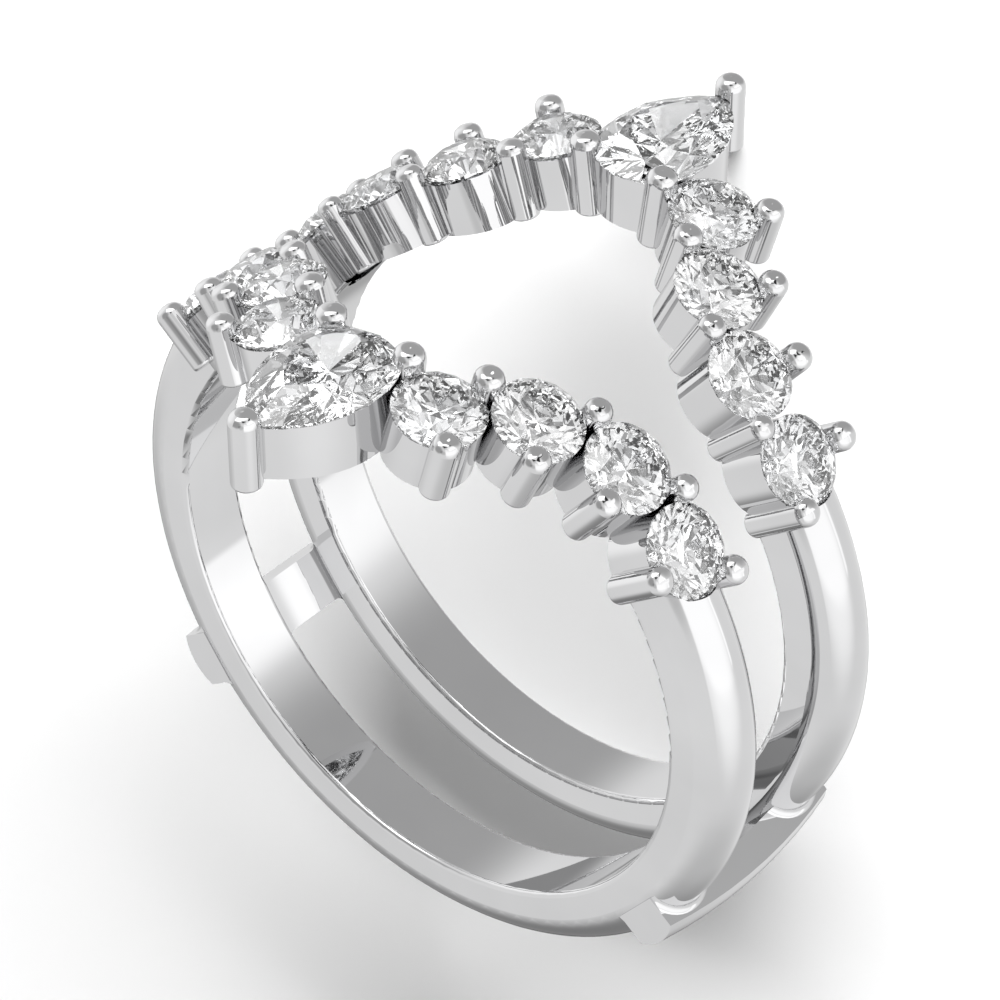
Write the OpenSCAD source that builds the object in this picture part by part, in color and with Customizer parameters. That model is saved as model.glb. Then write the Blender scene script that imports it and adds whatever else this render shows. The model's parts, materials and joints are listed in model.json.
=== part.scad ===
// Ring guard enhancer: two joined bands carry two facing chevrons of claw-set stones,
// and a centre ring slips between them. It is built as it lies on a table by itself.
// Inside the modules the finger axis is Z and the crown points to +Y; lying() lays it down.
// Angles round the ring are clockwise from the crown. Right and front stand for +X and +Z.

/* [Finger hole and bands] */
// Radius of the finger hole
finger_r = 8.65; // [7.5:0.05:10.5]
// Width of each band along the finger
band_w = 2.02; // [1.6:0.02:2.4]
// Gap between the two bands, where the centre ring sits
band_gap = 2.86; // [2.6:0.02:4.5]
// Thickness of each band at the crest of its dome
band_t = 1.87; // [1.6:0.01:2.2]
// Rounding of each band's two inner edges
edge_r = 0.15; // [0.05:0.05:0.3]

/* [Bridge bars] */
// Place of each bridge bar round the ring, in degrees
bar_angle = 126.5; // [110:0.5:145]
// Width of a bar round the ring
bar_w = 1.64; // [1:0.02:2.6]
// Thickness of a bar at its long outer edges
bar_t = 0.9; // [0.7:0.02:1.2]
// Extra thickness of a bar along its middle line
bar_crest = 0.23; // [0.1:0.01:0.35]
// Radius of a bar's lengthwise bow, out to its long outer edges
bar_bow_r = 17; // [13:0.5:26]
// Height of a bar's long outer edges over the bands' crests, halfway along it
bar_rise = 0.42; // [0.36:0.01:0.6]
// How far a bar's flat ends stand proud of the bands' outer sides
bar_proud = 0.03; // [0.02:0.01:0.2]
// Radius of the flare where a band's dome runs into a bar
bar_flare = 0.2; // [0.15:0.01:0.4]

/* [Round stones] */
// Diameter of a round stone
stone_d = 2.5; // [2.2:0.05:2.8]
// Clearance between two round stones in a row
stone_gap = 0.075; // [0.05:0.025:0.2]
// Height of the round stones' rims over the finger hole
rim_level = 1.7; // [1.6:0.05:2]
// Turns of the row after its first, second and third round stone, in degrees
row_turns = [46.6, 26, 3.6]; // [0:0.1:60]
// How far the row's last stone lies in from the middle of its band
row_inset = 0.09; // [0:0.01:0.3]

/* [Pear stones] */
// Width of a pear stone
pear_w = 3.24; // [2.8:0.02:3.6]
// Length of a pear stone from its widest line to its point
pear_flank = 2.85; // [2.4:0.05:3.4]
// Angle that each flank runs on past the widest line, in degrees
pear_shoulder = 11; // [5:1:20]
// Height of the pear stones' rims over those of the round stones
pear_lift = 0.1; // [0.1:0.02:0.3]
// Turn of the row from a pear stone to the first round stone, in degrees
lead_turn = 15.3; // [10:0.1:22]
// Clearance between a pear stone and the first round stone, seen from above
lead_gap = 0; // [0:0.02:0.2]

/* [Cut of the stones] */
// Table width as a share of the stone's width
table_share = 0.56; // [0.5:0.01:0.62]
// Reach of the star facets' points as a share of the stone's width
star_share = 0.8; // [0.74:0.01:0.84]
// Reach of the lower facets' points as a share of the stone's width
low_share = 0.24; // [0.15:0.01:0.4]
// Height of a round stone's crown
crown_h = 0.38; // [0.3:0.01:0.45]
// Thickness of a stone's rim
rim_t = 0.09; // [0.06:0.01:0.14]
// Depth of a round stone below its rim
depth = 1.07; // [0.9:0.01:1.2]
// Height of a pear stone's crown
pear_crown_h = 0.5; // [0.4:0.01:0.6]
// Depth of a pear stone below its rim
pear_depth = 1.3; // [1.1:0.01:1.4]

/* [Cups and claws] */
// How far a round cup lies in from its stone's edge
cup_in = 0.03; // [0.01:0.01:0.12]
// Wall of a round cup
cup_t = 0.5; // [0.4:0.02:0.8]
// How far the cups' feet keep back from the finger hole
cup_lift = 0.09; // [0.05:0.01:0.3]
// How far the pear cup lies in from the pear stone's outline
pear_cup_in = 0.1; // [0.05:0.01:0.2]
// Wall of the pear cup
pear_cup_t = 0.5; // [0.35:0.05:0.7]
// Play between each stone and the metal that holds it
seat_gap = 0.03; // [0.02:0.01:0.08]
// Radius of a claw on the outer side of a row
outer_claw_r = 0.405; // [0.34:0.005:0.45]
// Radii of the claws on the inner side of a row, from the pear stone on
inner_claw_r = [0.44, 0.42, 0.39, 0.37, 0.4]; // [0.34:0.01:0.5]
// Radius of the claw at a pear stone's point
tip_claw_r = 0.42; // [0.38:0.01:0.5]
// Distance from a round stone's edge to the middle of its outer claws
outer_stand = 0.2; // [0.16:0.01:0.34]
// Distance from a round stone's edge to the middle of its inner claws
inner_stand = 0.3; // [0.24:0.01:0.36]
// Distance from a pear stone's round end to the middle of its claws
pear_stand = 0.17; // [0.1:0.01:0.25]
// Distance from a pear stone's point to the middle of the claw there
tip_stand = 0.22; // [0.18:0.01:0.3]
// Height over its stone's rim at which a claw starts to round off
claw_rise = 0.3; // [0.22:0.01:0.4]
// The same height for the claw at a pear stone's point
tip_rise = 0.28; // [0.2:0.01:0.4]
// Height of a claw's domed top as a share of its radius
claw_dome = 0.75; // [0.72:0.01:0.9]
// Rounding of a claw's shoulder as a share of its radius
claw_shoulder = 0.7; // [0.5:0.01:0.7]
// Length of an outer claw from its shoulder to its foot
outer_claw_l = 1.66; // [1.4:0.02:1.8]
// How far the feet of the inner claws keep back from the finger hole
inner_foot = 0.03; // [0.02:0.01:0.3]
// Length of the claw at a pear stone's point, from its shoulder to its foot
tip_claw_l = 1.98; // [1.78:0.02:2.06]
// Rounding of a claw's foot
foot_r = 0.1; // [0.04:0.01:0.2]
// Angle of the last claw of a row, back from the row's run, in degrees
last_claw_turn = 38; // [25:1:50]
// Distance from the last stone's edge to the middle of that claw
last_stand = 0.14; // [0.1:0.01:0.3]

/* [Hidden] */
$fn = 64;
ROWS = [["front_right", 1, 1], ["front_left", -1, 1], ["back_right", 1, -1], ["back_left", -1, -1]];
STONES = [0, 1, 2, 3];
function stone_name(row, k) = str("stone_", row[0], "_", k + 1);

// Colours
METAL = [0.84, 0.85, 0.86];
STONE = [0.93, 0.96, 1];

// Bands
dome_r = band_w / 2;
side_h = band_t - dome_r;
crest_r = finger_r + band_t;
band_z = (band_gap + band_w) / 2;
band_side = band_gap / 2 + band_w;

// Bars: both faces of a bar follow arcs about one centre
bar_out = crest_r + bar_rise;
bar_centre = bar_out - bar_bow_r;
bar_in_r = bar_bow_r - bar_t;
bar_crest_r = (pow(bar_w / 2, 2) + pow(bar_crest, 2)) / (2 * bar_crest);
bar_end = band_side + bar_proud;

// Rims, cups and their cut
rim_r = finger_r + rim_level;
pear_rim_r = rim_r + pear_lift;
foot_level = finger_r + cup_lift;
stone_r = stone_d / 2;
cup_r = stone_r - cup_in;
cup_hole_r = cup_r - cup_t;
rim_half = rim_t / 2;
tall = 4 * stone_d;

// Pear outline: two flank arcs meet at the point and run into one round end
pear_half = pear_w / 2;
flank_in = (pow(pear_flank, 2) - pow(pear_half, 2)) / pear_w;
flank_r = flank_in + pear_half;
round_x = -flank_in * tan(pear_shoulder);
round_r = flank_r - flank_in / cos(pear_shoulder);
flank_start = atan2(flank_in, pear_flank);
flank_arc = 90 + pear_shoulder - flank_start;
flank_len = flank_r * flank_arc;
half_len = flank_len + round_r * (90 - pear_shoulder);

// Layout of one row on the unrolled rim surface: [distance round the ring, distance along the finger]
pitch = stone_d + stone_gap;
lead = round_r + stone_r + lead_gap;
function run(turn, length) = [length * cos(turn), -length * sin(turn)];
last_z = band_z - row_inset;
step = [for (turn = row_turns) run(turn, pitch)];
first_z = last_z - step[0][1] - step[1][1] - step[2][1];
pear_at = [0, first_z - run(lead_turn, lead)[1]];
first_at = pear_at + run(lead_turn, lead);
stone_at = [first_at, first_at + step[0], first_at + step[0] + step[1],
    first_at + step[0] + step[1] + step[2]];

// Bearing of each stone's outer claw: square to the mean run of the row there
claw_bearing = [90 - row_turns[0], 90 - (row_turns[0] + row_turns[1]) / 2,
    90 - (row_turns[1] + row_turns[2]) / 2, 90 - row_turns[2]];

// The point on the inner side of a row that lies ra from a and rb from b
function inner_meet(a, ra, b, rb) =
    let (d = norm(b - a), along = (ra * ra - rb * rb + d * d) / (2 * d))
    let (across = sqrt(max(0, ra * ra - along * along)), dir = (b - a) / d)
    a + along * dir + across * [dir[1], -dir[0]];
reach = stone_r + inner_stand;
inner_at = [inner_meet(pear_at, round_r + pear_stand, stone_at[0], reach),
    inner_meet(stone_at[0], reach, stone_at[1], reach),
    inner_meet(stone_at[1], reach, stone_at[2], reach),
    inner_meet(stone_at[2], reach, stone_at[3], reach)];

// Feet of the inner claws; the last one stands square to its stone, not to the finger hole
inner_level = finger_r + inner_foot;
last_along = (stone_r + last_stand) * cos(last_claw_turn);
last_foot = sqrt(pow(inner_level, 2) - pow(last_along, 2));

// Bands end under the middle of the last stones
function turn_of(s) = s / rim_r * 180 / PI;
band_start = turn_of(stone_at[3][0]);

// Rest on a table: the back point's claw and the back band touch it
tip_out = pear_at[1] - round_x + pear_flank + tip_stand;
tip_foot = pear_rim_r + tip_rise - tip_claw_l + foot_r;
rest_run = tip_out + tip_claw_r - foot_r - band_z;
rest_rise = tip_foot + finger_r + side_h;
rest_tilt = acos((dome_r - foot_r) / norm([rest_run, rest_rise])) - atan2(rest_rise, rest_run);
rest_lift = (finger_r + side_h) * sin(rest_tilt) + band_z * cos(rest_tilt) + dome_r;
// Its footprint runs from the front band to the back point's claw, centred on the origin
rest_near = -(finger_r + side_h) * cos(rest_tilt) - band_z * sin(rest_tilt) - dome_r;
rest_far = (pear_rim_r + tip_rise) * cos(rest_tilt) + tip_out * sin(rest_tilt)
    + tip_claw_r * (claw_shoulder + (1 - claw_shoulder) * sin(rest_tilt));

// Lays the ring down on its back, resting at z = 0
module lying() {
    translate([0, -(rest_near + rest_far) / 2, rest_lift]) rotate([rest_tilt, 0, 0]) children();
}

// Puts a child, built for the front right, into another quarter
module quarter(side, face) {
    mirror([side < 0 ? 1 : 0, 0, 0]) mirror([0, 0, face < 0 ? 1 : 0]) children();
}

// Stands a child on the unrolled place at, with its own Z pointing out of the ring,
// its X down the finger and its Y back towards the crown
module station(at, radius) {
    rotate([0, 0, 90 - turn_of(at[0])]) translate([radius, 0, at[1]]) rotate([0, 90, 0]) children();
}

// Pear outline in plan, drawn in by inset, with its point towards +X
module pear_plan(inset) {
    union() {
        intersection() {
            translate([0, -flank_in]) circle(flank_r - inset);
            translate([0, flank_in]) circle(flank_r - inset);
            translate([-(flank_r - inset) * sin(pear_shoulder), -pear_w])
                square([2 * pear_flank, 2 * pear_w]);
        }
        translate([round_x, 0]) circle(round_r - inset);
    }
}

// A point of the pear outline, at a share of the way from its point to its round end
function pear_upper(share) =
    let (gone = share * half_len)
    let (a = flank_start + gone / flank_r, b = 90 + pear_shoulder + (gone - flank_len) / round_r)
    gone < flank_len ? [flank_r * cos(a), flank_r * sin(a) - flank_in]
    : [round_x + round_r * cos(b), round_r * sin(b)];
function pear_point(share) =
    share <= 0.5 ? pear_upper(2 * share)
    : let (p = pear_upper(2 - 2 * share)) [p[0], -p[1]];

// Outlines of the two cuts, counter-clockwise, with three steps in each sixteenth
RIM_STEPS = 3;
RIM_POINTS = 16 * RIM_STEPS;
round_rim = [for (i = [0:RIM_POINTS - 1]) stone_r * [cos(360 * i / RIM_POINTS), sin(360 * i / RIM_POINTS)]];
pear_rim = [for (i = [0:RIM_POINTS - 1]) pear_point(i / RIM_POINTS)];

// Height over p on the plane through a, b and c
function plane_z(p, a, b, c) =
    let (n = cross(b - a, c - a)) a[2] - (n[0] * (p[0] - a[0]) + n[1] * (p[1] - a[1])) / n[2];
// Height over p on the line from a to b
function line_z(p, a, b) =
    let (d = [b[0] - a[0], b[1] - a[1]], e = [p[0] - a[0], p[1] - a[1]])
    a[2] + (d * e) / (d * d) * (b[2] - a[2]);
function at_z(p, z) = [p[0], p[1], z];

// Brilliant cut: a table, 8 stars, 8 kites and 16 upper facets over a rim, and 16 lower
// facets and 8 mains under it, on the outline rim, with its own Z = 0 at mid rim
module brilliant(rim, crown, half, below) {
    n = len(rim);
    steps = n / 16;
    main = [for (i = [0:7]) rim[2 * steps * i]];
    between = [for (i = [0:7]) rim[(2 * i + 1) * steps]];
    table = [for (p = main) at_z(table_share * p, half + crown)];
    star_xy = [for (p = between) star_share * p];
    star = [for (i = [0:7]) at_z(star_xy[i],
        (line_z(star_xy[i], table[i], at_z(main[i], half))
        + line_z(star_xy[i], table[(i + 1) % 8], at_z(main[(i + 1) % 8], half))) / 2)];
    culet = [0, 0, -half - below];
    low_xy = [for (p = between) low_share * p];
    low = [for (i = [0:7]) at_z(low_xy[i],
        (line_z(low_xy[i], culet, at_z(main[i], -half))
        + line_z(low_xy[i], culet, at_z(main[(i + 1) % 8], -half))) / 2)];
    upper = [for (j = [0:n - 1]) let (h = floor(j / steps), a = rim[h * steps], b = rim[(h + 1) * steps % n])
        at_z(rim[j], plane_z(rim[j], star[floor(h / 2)], at_z(a, half), at_z(b, half)))];
    lower = [for (j = [0:n - 1]) let (h = floor(j / steps), a = rim[h * steps], b = rim[(h + 1) * steps % n])
        at_z(rim[j], plane_z(rim[j], low[floor(h / 2)], at_z(a, -half), at_z(b, -half)))];
    s0 = 8;
    u0 = 16;
    b0 = u0 + n;
    l0 = b0 + n;
    c0 = l0 + 8;
    polyhedron(points = concat(table, star, upper, lower, low, [culet]), faces = concat(
        [[for (i = [7:-1:0]) i]],
        [for (i = [0:7]) [(i + 1) % 8, s0 + i, i]],
        [for (i = [0:7]) [u0 + 2 * steps * i, s0 + (i + 7) % 8, i]],
        [for (i = [0:7]) [s0 + i, u0 + 2 * steps * i, i]],
        [for (j = [0:n - 1]) [u0 + (j + 1) % n, u0 + j, s0 + floor(j / steps / 2)]],
        [for (j = [0:n - 1]) [u0 + j, u0 + (j + 1) % n, b0 + (j + 1) % n]],
        [for (j = [0:n - 1]) [u0 + j, b0 + (j + 1) % n, b0 + j]],
        [for (j = [0:n - 1]) [l0 + floor(j / steps / 2), b0 + j, b0 + (j + 1) % n]],
        [for (i = [0:7]) [c0, l0 + (i + 7) % 8, b0 + 2 * steps * i]],
        [for (i = [0:7]) [c0, b0 + 2 * steps * i, l0 + i]]));
}

// One round stone, on its place in a row
module round_stone(row, k) {
    color(STONE) lying() quarter(row[1], row[2]) station(stone_at[k], rim_r)
        brilliant(round_rim, crown_h, rim_half, depth);
}

// One pear stone, its point away from the gap
module pear_stone(face) {
    color(STONE) lying() quarter(1, face) pear_place()
        brilliant(pear_rim, pear_crown_h, rim_half, pear_depth);
}

// Stands a child at the pear stone's place, with X towards the stone's point
module pear_place() {
    station(pear_at + [0, -round_x], pear_rim_r) rotate([0, 0, 180]) children();
}

// Section of a band: flat inside and at its sides, domed outside
module band_section() {
    difference() {
        union() {
            translate([finger_r, -dome_r]) square([side_h, band_w]);
            intersection() {
                translate([finger_r + side_h, 0]) circle(dome_r);
                translate([finger_r + edge_r, -band_w]) square([band_t, 2 * band_w]);
            }
        }
        for (side = [-1, 1]) difference() {
            translate([finger_r - edge_r, side * dome_r - edge_r]) square(2 * edge_r);
            translate([finger_r + edge_r, side * (dome_r - edge_r)]) circle(edge_r);
            translate([finger_r + edge_r, -band_w]) square([band_w, 2 * band_w]);
            translate([finger_r - edge_r, -dome_r + edge_r]) square([band_w, band_w - 2 * edge_r]);
        }
    }
}

// Both bands, cut clear of the last stones' crowns
module bands() {
    difference() {
        for (face = [-1, 1]) translate([0, 0, face * band_z]) rotate([0, 0, 90 + band_start])
            rotate_extrude(angle = 360 - 2 * band_start) band_section();
        for (row = ROWS) quarter(row[1], row[2]) station(stone_at[3], rim_r)
            translate([0, 0, -rim_half]) cylinder(r = stone_r + seat_gap, h = tall);
    }
}

// Section of a bar, with a crowned outer face
module bar_section() {
    intersection() {
        translate([bar_in_r, -bar_w / 2]) square([bar_t + bar_crest, bar_w]);
        translate([bar_bow_r + bar_crest - bar_crest_r, 0]) circle(bar_crest_r);
    }
}

// Sweeps a section along a bar's bow, from one side of the ring to the other
module along_bar(half_length) {
    intersection() {
        translate([bar_centre, 0, 0]) rotate([90, 0, 0]) rotate([0, 0, -45])
            rotate_extrude(angle = 90) children();
        translate([0, -bar_w, -half_length]) cube([2 * bar_out, 2 * bar_w, 2 * half_length]);
    }
}

// Hollow-sided collar where a band's dome runs into one face of a bar
module flare() {
    middle = sqrt(pow(finger_r + side_h, 2) - pow(bar_w / 2 + bar_flare, 2));
    translate([middle, bar_w / 2, 0]) rotate([-90, 0, 0]) rotate_extrude() difference() {
        translate([0, -bar_w / 4]) square([dome_r + bar_flare, bar_flare + bar_w / 4]);
        translate([dome_r + bar_flare, bar_flare]) circle(bar_flare);
    }
}

// The two bridge bars that solder the bands together, with their flares
module bars() {
    for (side = [-1, 1]) rotate([0, 0, 90 - side * bar_angle]) {
        along_bar(bar_end) bar_section();
        intersection() {
            along_bar(band_side) translate([bar_in_r, -bar_w / 2 - bar_flare])
                square([bar_t, bar_w + 2 * bar_flare]);
            for (edge = [-1, 1], face = [-1, 1]) translate([0, 0, face * band_z])
                mirror([0, edge < 0 ? 1 : 0, 0]) flare();
        }
    }
}

// A claw: a rod with a domed top, round shoulders and a rounded foot, at two heights over the rim
module claw(radius, rise, foot) {
    corner = claw_shoulder * radius;
    top = claw_dome * radius;
    dome = (pow(radius - corner, 2) + pow(top, 2) - pow(corner, 2)) / (2 * (top - corner));
    rotate_extrude() intersection() {
        translate([0, foot]) square([2 * radius, rise - foot + 2 * radius]);
        union() {
            intersection() {
                translate([0, rise + top - dome]) circle(dome);
                translate([0, rise]) square([(radius - corner) * dome / (dome - corner), radius]);
            }
            translate([radius - corner, rise]) circle(corner);
            translate([0, foot + foot_r]) square([radius, rise - foot - foot_r]);
            translate([0, foot]) square([radius - foot_r, rise - foot]);
            translate([radius - foot_r, foot + foot_r]) circle(foot_r);
        }
    }
}

// Offset, in a stone's own plane, by a distance at a bearing from the row's circumference
module aside(bearing, distance) {
    translate([-distance * sin(bearing), -distance * cos(bearing), 0]) children();
}

// Cups of the front right quarter
module cups() {
    for (k = STONES) station(stone_at[k], rim_r)
        translate([0, 0, -tall]) cylinder(r = cup_r, h = tall - rim_half);
}

// Claws of the front right quarter
module claws() {
    for (k = STONES) station(stone_at[k], rim_r) aside(claw_bearing[k], stone_r + outer_stand)
        claw(outer_claw_r, claw_rise, claw_rise - outer_claw_l);
    station(inner_at[0], pear_rim_r) claw(inner_claw_r[0], claw_rise, inner_level - pear_rim_r);
    for (k = [1:3]) station(inner_at[k], rim_r)
        claw(inner_claw_r[k], claw_rise, inner_level - rim_r);
    station(stone_at[3], rim_r) aside(-last_claw_turn, stone_r + last_stand)
        claw(inner_claw_r[4], claw_rise, last_foot - rim_r);
}

// All cups, with their feet on one cylinder round the finger, and all claws
module settings() {
    difference() {
        union() {
            for (row = ROWS) quarter(row[1], row[2]) cups();
            for (face = [-1, 1]) quarter(1, face) pear_place()
                translate([0, 0, -tall]) linear_extrude(tall - rim_half) pear_plan(pear_cup_in);
        }
        cylinder(r = foot_level, h = 2 * tall + 2 * tip_out, center = true);
    }
    for (row = ROWS) quarter(row[1], row[2]) claws();
    for (face = [-1, 1]) quarter(1, face) pear_place() translate([pear_flank + tip_stand, 0, 0])
        claw(tip_claw_r, tip_rise, tip_rise - tip_claw_l);
}

// What a round stone takes out of the metal: its own form with play, and the hole below it
module round_seat() {
    wide = stone_r + seat_gap;
    edge = rim_half + seat_gap / 2;
    hole_z = -edge - (wide - cup_hole_r) / wide * (depth + seat_gap);
    rotate_extrude() polygon([[0, rim_half + crown_h + seat_gap],
        [table_share * stone_r, rim_half + crown_h + seat_gap], [wide, edge], [wide, -edge],
        [cup_hole_r, hole_z], [cup_hole_r, -tall], [0, -tall]]);
}

// What a pear stone takes out of the metal
module pear_seat() {
    grow = 1 + seat_gap / pear_half;
    brilliant(grow * pear_rim, pear_crown_h + seat_gap / 2, rim_half + seat_gap / 2,
        pear_depth + seat_gap);
    translate([0, 0, -tall]) linear_extrude(tall - 2 * rim_t) pear_plan(pear_cup_in + pear_cup_t);
}

// The whole soldered metal: bands, bars, cups and claws
module ring_frame() {
    color(METAL) lying() difference() {
        union() {
            bands();
            bars();
            settings();
        }
        for (row = ROWS, k = STONES) quarter(row[1], row[2]) station(stone_at[k], rim_r) round_seat();
        for (face = [-1, 1]) quarter(1, face) pear_place() pear_seat();
    }
}

ring_frame();
pear_stone(1);  // pear_front
pear_stone(-1);  // pear_back
for (row = ROWS, k = STONES)
    round_stone(row, k);
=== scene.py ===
import json
import math

import bpy
from mathutils import Matrix, Vector

# Camera, fitted in the ring's own frame in millimetres: X right, Y along the finger, Z to the crown
LENS = 145.72
SENSOR = 36.0
EYE = Vector((54.88916, -64.47827, 72.45066))
LOOK = Vector((-0.49875389, 0.5858751, -0.6387448))
RIGHT = Vector((0.76069835, 0.64910404, 0.00139749))
# Nearest and farthest that the camera sees, in metres
CLIP = (0.01, 10)

# Polished metal: how fine its marks are and how much detail they have, the tones from each share of
# them on, and the least and most roughness
METAL_MARKS = 260.0
METAL_DETAIL = 3.0
METAL_TONES = [(0.3, (0.62, 0.62, 0.625)), (0.7, (0.67, 0.67, 0.675))]
METAL_ROUGHNESS = (0.01, 0.04)

# Cut stone: how strongly it bends light, how fine its clouds are and how much detail they have, and
# the tints from each share of them on
STONE_INDEX = 2.42
STONE_CLOUDS = 900.0
STONE_DETAIL = 2.0
STONE_TINTS = [(0.35, (0.97, 0.98, 0.995)), (0.65, (1.0, 1.0, 1.0))]

# The studio that the metal mirrors, in the ring's own frame: an even tent with soft spots in it.
# A spot has its bearing from the front towards +X, its height, what it adds, and its inner and outer
# reach, in degrees. The first one ends at a straight edge.
TENT = 0.74
SPOTS = [
    (76, 10, 0.30, 20, 62),
    (-88, 10, 0.24, 8, 40),
    (-12, 22, -0.40, 12, 40),
    (24, 8, -0.20, 4, 24),
    (60, 62, -0.22, 6, 30),
    (-172, 42, -0.36, 28, 58),
    (85, 42, -0.12, 6, 28),
    (-100, -66, -0.32, 5, 45),
    (0, -90, -0.22, 10, 45),
    (-140, -40, -0.25, 8, 30),
]
# Bearing of that edge in degrees, and its softness as a share of one
SPOT_EDGE = 41
EDGE_SOFTNESS = 0.03
# Cards with clear edges: bearing and height of the middle, bearing of the long side, what it adds,
# half length, half width and softness of the edge, in degrees
CARDS = [
    (80, 3, 170, 0.12, 39, 19, 5),
    (123, 10, 213, 0.30, 3, 22, 2),
    (97, 45, 187, 0.35, 22, 17, 4),
    (-19, 81, 124, 1.40, 31, 15, 1.5),
    (79, 72, 165, -1.00, 24, 10, 1.5),
]
# The least light from any direction, and what all of it is multiplied by
DARKEST = 0.03
GAIN = 1.32

# Light and grey panes that only the stones gather: how many, and the tones from each share of them on
PANES = 3.2
PANE_TONES = [(0.0, 0.12), (0.25, 0.35), (0.5, 0.65), (0.78, 1.05)]

# The floor: how strongly the studio lights it, since the lamps bring the rest, its side in metres,
# its tone and its roughness
FLOOR_LIGHT = 0.15
FLOOR_SIDE = 3.0
FLOOR_TONE = 0.9
FLOOR_ROUGHNESS = 0.3

# Lamps that the metal doesn't mirror: place, width and height in metres, and power in watts
LAMPS = {
    "lamp_key": ((0.065, 0.459, 0.187), 0.70, 0.20, 9.8),
    "lamp_side": ((0.40, -0.30, 0.40), 0.35, 0.35, 0.4),
}

# Light crosses a stone many times before it comes out
BOUNCES = {"max_bounces": 20, "glossy_bounces": 12, "transmission_bounces": 16}


def finger_frame(record):
    """Where the finger hole's middle is and how the ring's own axes lie."""
    mount = next(m for m in record["mounts"] if m["name"] == "finger_hole")
    along = Vector(mount["axis"]).normalized()
    x = Vector((1, 0, 0))
    crown = along.cross(x)
    return {
        "pos": Vector(mount["pos_m"]),
        "turn": Matrix((x, -along, crown)).transposed(),
    }


def aim(obj, place, towards, up):
    """Stands obj at place with its own -Z towards a point and its Y near up."""
    back = (place - towards).normalized()
    right = up.cross(back).normalized()
    turn = Matrix((right, back.cross(right), back)).transposed()
    obj.matrix_world = Matrix.Translation(place) @ turn.to_4x4()


def make_camera(finger):
    """The photograph's camera, which keeps its place to the ring when the ring lies on its side."""
    cam = bpy.data.objects.new("camera", bpy.data.cameras.new("camera"))
    bpy.context.scene.collection.objects.link(cam)
    bpy.context.scene.camera = cam
    cam.data.lens = LENS
    cam.data.sensor_width = SENSOR
    cam.data.clip_start, cam.data.clip_end = CLIP
    turn = finger["turn"]
    right = (turn @ RIGHT).normalized()
    back = -(turn @ LOOK).normalized()
    axes = Matrix((right, back.cross(right), back)).transposed()
    place = finger["pos"] + turn @ (EYE / 1000)
    cam.matrix_world = Matrix.Translation(place) @ axes.to_4x4()


def math_node(tree, kind, a, b=0.0):
    node = tree.nodes.new("ShaderNodeMath")
    node.operation = kind
    for socket, value in zip(node.inputs, (a, b)):
        if isinstance(value, (int, float)):
            socket.default_value = value
        else:
            tree.links.new(value, socket)
    return node.outputs[0]


def dot_node(tree, ray, way):
    node = tree.nodes.new("ShaderNodeVectorMath")
    node.operation = "DOT_PRODUCT"
    node.inputs[1].default_value = way
    tree.links.new(ray, node.inputs[0])
    return node.outputs["Value"]


def ease(tree, value, low, high, result=1.0):
    """From 0 at low to result at high, smoothly."""
    node = tree.nodes.new("ShaderNodeMapRange")
    node.interpolation_type = "SMOOTHERSTEP"
    node.inputs["From Min"].default_value = low
    node.inputs["From Max"].default_value = high
    node.inputs["To Max"].default_value = result
    tree.links.new(value, node.inputs["Value"])
    return node.outputs["Result"]


def ramp(tree, value, stops, kind="LINEAR"):
    """Colours by value. Each stop is the value that it starts at and its colour."""
    node = tree.nodes.new("ShaderNodeValToRGB")
    node.color_ramp.interpolation = kind
    elements = node.color_ramp.elements
    for i, (place, color) in enumerate(stops):
        element = elements[i] if i < len(elements) else elements.new(place)
        element.position = place
        element.color = (*color, 1)
    tree.links.new(value, node.inputs["Fac"])
    return node.outputs["Color"]


def mix(tree, share, a, b):
    """From a to b by share."""
    node = tree.nodes.new("ShaderNodeMix")
    tree.links.new(share, node.inputs["Factor"])
    for socket, value in ((node.inputs["A"], a), (node.inputs["B"], b)):
        if isinstance(value, (int, float)):
            socket.default_value = value
        else:
            tree.links.new(value, socket)
    return node.outputs["Result"]


def noise(tree, scale, detail):
    """Soft changes over a piece, in its own coordinates."""
    coord = tree.nodes.new("ShaderNodeTexCoord")
    node = tree.nodes.new("ShaderNodeTexNoise")
    node.inputs["Scale"].default_value = scale
    node.inputs["Detail"].default_value = detail
    tree.links.new(coord.outputs["Object"], node.inputs["Vector"])
    return node.outputs["Fac"]


def node_material(name):
    mat = bpy.data.materials.new(name)
    mat.use_nodes = True
    tree = mat.node_tree
    return mat, tree, tree.nodes["Principled BSDF"]


def polished_metal():
    """White gold: bright mirror polish, with faint wipe marks and a slow change of gloss."""
    mat, tree, shader = node_material("polished_white_gold")
    shader.inputs["Metallic"].default_value = 1.0
    marks = noise(tree, METAL_MARKS, METAL_DETAIL)
    tree.links.new(ramp(tree, marks, METAL_TONES), shader.inputs["Base Color"])
    gloss = tree.nodes.new("ShaderNodeMapRange")
    gloss.inputs["To Min"].default_value, gloss.inputs["To Max"].default_value = METAL_ROUGHNESS
    tree.links.new(marks, gloss.inputs["Value"])
    tree.links.new(gloss.outputs["Result"], shader.inputs["Roughness"])
    return mat


def cut_stone():
    """Clear stone of high index with faint clouds: the sparkle comes from its facets."""
    mat, tree, shader = node_material("cut_stone")
    clouds = noise(tree, STONE_CLOUDS, STONE_DETAIL)
    tree.links.new(ramp(tree, clouds, STONE_TINTS), shader.inputs["Base Color"])
    shader.inputs["Transmission Weight"].default_value = 1.0
    shader.inputs["IOR"].default_value = STONE_INDEX
    shader.inputs["Roughness"].default_value = 0.0
    return mat


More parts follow.
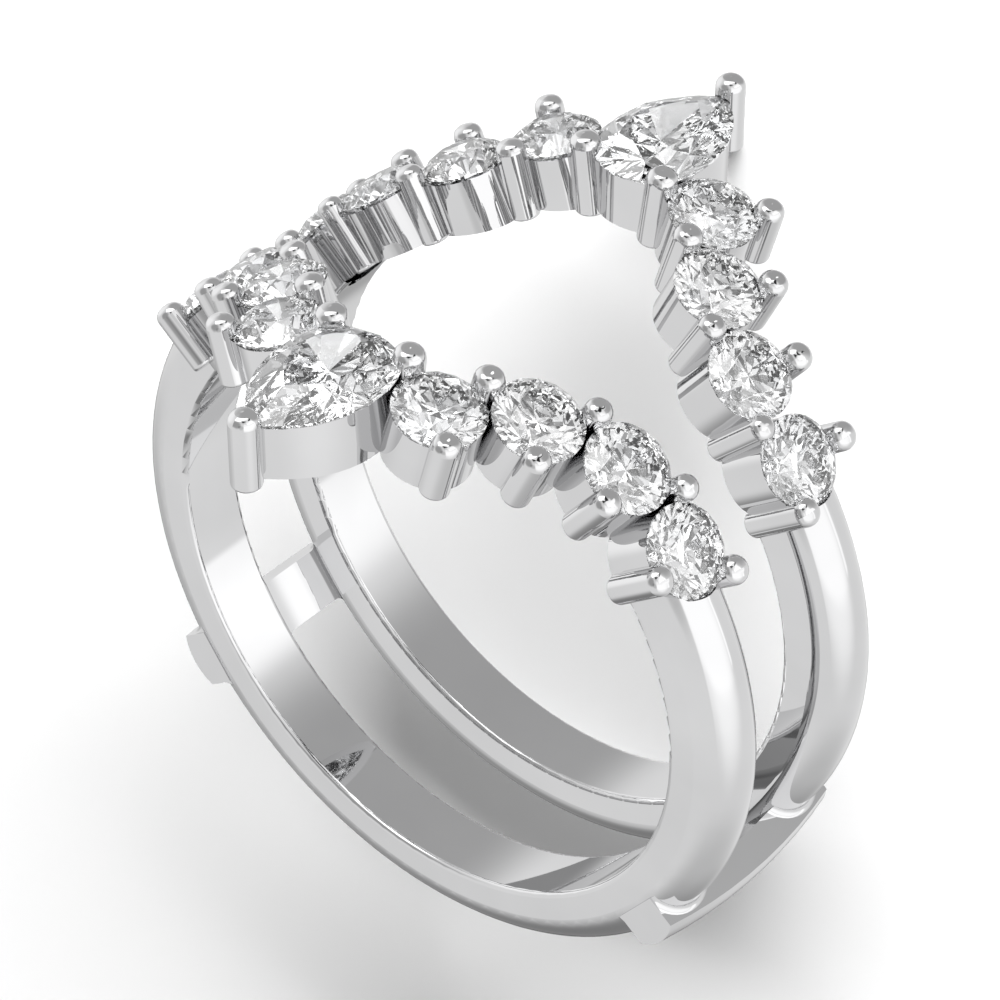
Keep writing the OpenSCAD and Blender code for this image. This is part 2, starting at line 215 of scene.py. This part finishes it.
def make_floor():
    """A plain pale floor, which the polished metal doesn't mirror."""
    mat, tree, shader = node_material("floor")
    shader.inputs["Base Color"].default_value = (FLOOR_TONE, FLOOR_TONE, FLOOR_TONE, 1)
    shader.inputs["Roughness"].default_value = FLOOR_ROUGHNESS
    half = FLOOR_SIDE / 2
    corners = [(-half, -half, 0), (half, -half, 0), (half, half, 0), (-half, half, 0)]
    mesh = bpy.data.meshes.new("floor")
    mesh.from_pydata(corners, [], [(0, 1, 2, 3)])
    mesh.materials.append(mat)
    floor = bpy.data.objects.new("floor", mesh)
    bpy.context.scene.collection.objects.link(floor)
    floor.visible_glossy = False


def make_lamps():
    for name, (place, width, height, power) in LAMPS.items():
        data = bpy.data.lights.new(name, "AREA")
        data.shape = "RECTANGLE"
        data.size = width
        data.size_y = height
        data.energy = power
        lamp = bpy.data.objects.new(name, data)
        bpy.context.scene.collection.objects.link(lamp)
        aim(lamp, Vector(place), Vector((0, 0, 0)), Vector((0, 0, 1)))
        lamp.visible_glossy = False
        lamp.visible_camera = False
        lamp.visible_transmission = False


def direction(bearing, height):
    """The way to a bearing from the front towards +X and a height, in the ring's own frame."""
    b, h = math.radians(bearing), math.radians(height)
    return Vector((math.sin(b) * math.cos(h), -math.cos(b) * math.cos(h), math.sin(h)))


def spot(tree, ray, turn, bearing, height, adds, inner, outer):
    """A round soft spot, whole up to its inner reach and gone at its outer one."""
    off = dot_node(tree, ray, turn @ direction(bearing, height))
    return ease(tree, off, math.cos(math.radians(outer)), math.cos(math.radians(inner)), adds)


def card(tree, ray, turn, bearing, height, side, adds, long, wide, soft):
    """A flat card: how far the ray is inside its two pairs of edges."""
    middle = direction(bearing, height)
    along = direction(side, 0)
    along = (along - along.dot(middle) * middle).normalized()
    across = middle.cross(along)
    ahead = dot_node(tree, ray, turn @ middle)
    edge = math.tan(math.radians(soft))
    shares = []
    for way, half in ((along, long), (across, wide)):
        off = math_node(tree, "ABSOLUTE", dot_node(tree, ray, turn @ way))
        room = math_node(tree, "MULTIPLY", ahead, math.tan(math.radians(half)))
        shares.append(ease(tree, math_node(tree, "SUBTRACT", room, off), -edge, edge))
    return math_node(tree, "MULTIPLY", math_node(tree, "MULTIPLY", *shares), adds)


def mirrored(tree, ray, turn):
    """What the metal mirrors: the tent with its spots and cards."""
    total = TENT
    for i, values in enumerate(SPOTS):
        light = spot(tree, ray, turn, *values)
        if i == 0:
            side = dot_node(tree, ray, turn @ direction(SPOT_EDGE + 90, 0))
            cut = ease(tree, side, -EDGE_SOFTNESS, EDGE_SOFTNESS)
            light = math_node(tree, "MULTIPLY", light, cut)
        total = math_node(tree, "ADD", light, total)
    for values in CARDS:
        total = math_node(tree, "ADD", card(tree, ray, turn, *values), total)
    return math_node(tree, "MULTIPLY", math_node(tree, "MAXIMUM", total, DARKEST), GAIN)


def gathered(tree, ray):
    """What the cut stones gather: a tent patched with light and grey panes."""
    panes = tree.nodes.new("ShaderNodeTexVoronoi")
    panes.inputs["Scale"].default_value = PANES
    tree.links.new(ray, panes.inputs["Vector"])
    split = tree.nodes.new("ShaderNodeSeparateColor")
    tree.links.new(panes.outputs["Color"], split.inputs["Color"])
    stops = [(place, (tone, tone, tone)) for place, tone in PANE_TONES]
    return ramp(tree, split.outputs["Red"], stops, "CONSTANT")


def make_studio(turn):
    """The world: what the metal mirrors, what the stones gather and what lights the floor."""
    world = bpy.data.worlds.new("studio")
    world.use_nodes = True
    tree = world.node_tree
    ray = tree.nodes.new("ShaderNodeTexCoord").outputs["Generated"]
    path = tree.nodes.new("ShaderNodeLightPath").outputs
    light = mix(tree, path["Is Transmission Ray"], mirrored(tree, ray, turn), gathered(tree, ray))
    light = mix(tree, path["Is Diffuse Ray"], light, FLOOR_LIGHT)
    background = tree.nodes["Background"]
    background.inputs["Color"].default_value = (1, 1, 1, 1)
    tree.links.new(light, background.inputs["Strength"])
    bpy.context.scene.world = world


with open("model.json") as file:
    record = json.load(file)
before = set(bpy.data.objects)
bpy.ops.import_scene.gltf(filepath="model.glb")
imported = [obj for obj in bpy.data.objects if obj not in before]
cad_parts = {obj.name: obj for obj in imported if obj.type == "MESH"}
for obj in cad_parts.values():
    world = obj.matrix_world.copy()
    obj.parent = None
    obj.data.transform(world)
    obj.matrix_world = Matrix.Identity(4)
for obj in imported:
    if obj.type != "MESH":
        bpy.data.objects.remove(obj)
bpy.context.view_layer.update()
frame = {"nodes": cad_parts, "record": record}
scene = bpy.context.scene
finger = finger_frame(frame["record"])
make_camera(finger)

metal = polished_metal()
stone = cut_stone()
for name, obj in frame["nodes"].items():
    obj.data.materials.clear()
    obj.data.materials.append(metal if name == "ring_frame" else stone)

make_floor()
make_lamps()
make_studio(finger["turn"])
scene.view_settings.view_transform = "Standard"
for name, count in BOUNCES.items():
    setattr(scene.cycles, name, count)
